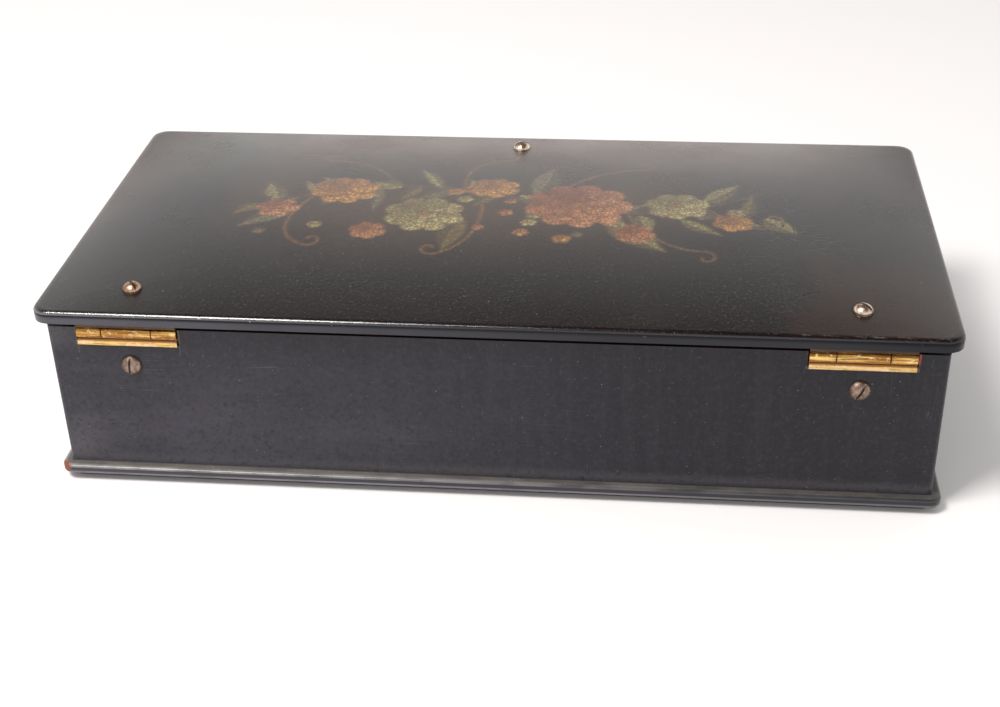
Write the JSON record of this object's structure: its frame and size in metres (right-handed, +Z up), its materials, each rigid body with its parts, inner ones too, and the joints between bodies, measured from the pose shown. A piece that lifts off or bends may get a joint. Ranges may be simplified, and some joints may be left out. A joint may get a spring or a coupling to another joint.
{
  "type": "deed box",
  "caption": "Long low lacquered box with a crowned overhanging lid on brass stop hinges, a moulded base board, a lining that stands up as a lip, and an inset lock.",
  "frame": {"origin": "middle of the footprint, on the surface that the box stands on", "axes": "+X along the box, +Y towards the hinged back wall, +Z up"},
  "size_m": [0.25, 0.124, 0.061],
  "materials": {
    "black_lacquer": "satin to gloss black lacquer over papier-mache",
    "lid_lacquer": "polished black lacquer with painted decoration under varnish",
    "red_lacquer": "satin vermilion lacquer",
    "brass": "brushed and worn",
    "old_brass": "tarnished",
    "steel": "dull"
  },
  "bodies": {
    "case": {"wall_shell": "black_lacquer", "base_board": "black_lacquer", "foot_board": "black_lacquer", "lining_floor": "red_lacquer", "lining_front": "red_lacquer", "lining_back": "red_lacquer", "lining_left": "red_lacquer", "lining_right": "red_lacquer", "case_leaf_left": "brass", "case_leaf_right": "brass", "hinge_pin_left": "steel", "hinge_pin_right": "steel", "back_wall_screws": "old_brass", "lock_plate": "brass", "lock_cover": "brass", "drill_pin": "steel", "lock_spring": "steel", "lock_screws": "old_brass", "escutcheon": "brass", "escutcheon_pins": "brass"},
    "bolt": {"lock_bolt": "steel"},
    "lid": {"lid_shell": "lid_lacquer", "lid_lining": "red_lacquer", "lid_leaf_left": "brass", "lid_leaf_right": "brass", "lid_hinge_screws": "old_brass", "link_plate": "brass", "link_screw": "old_brass"}
  },
  "joints": [
    {"name": "lid_hinge", "type": "hinge", "parent": "case", "child": "lid", "pos_m": [0, 0.0581, 0.04845], "axis": [-1, 0, 0], "range_deg": [0, 95]},
    {"name": "bolt_slide", "type": "slide", "parent": "case", "child": "bolt", "axis": [1, 0, 0], "range_m": [0, 0.004]}
  ]
}
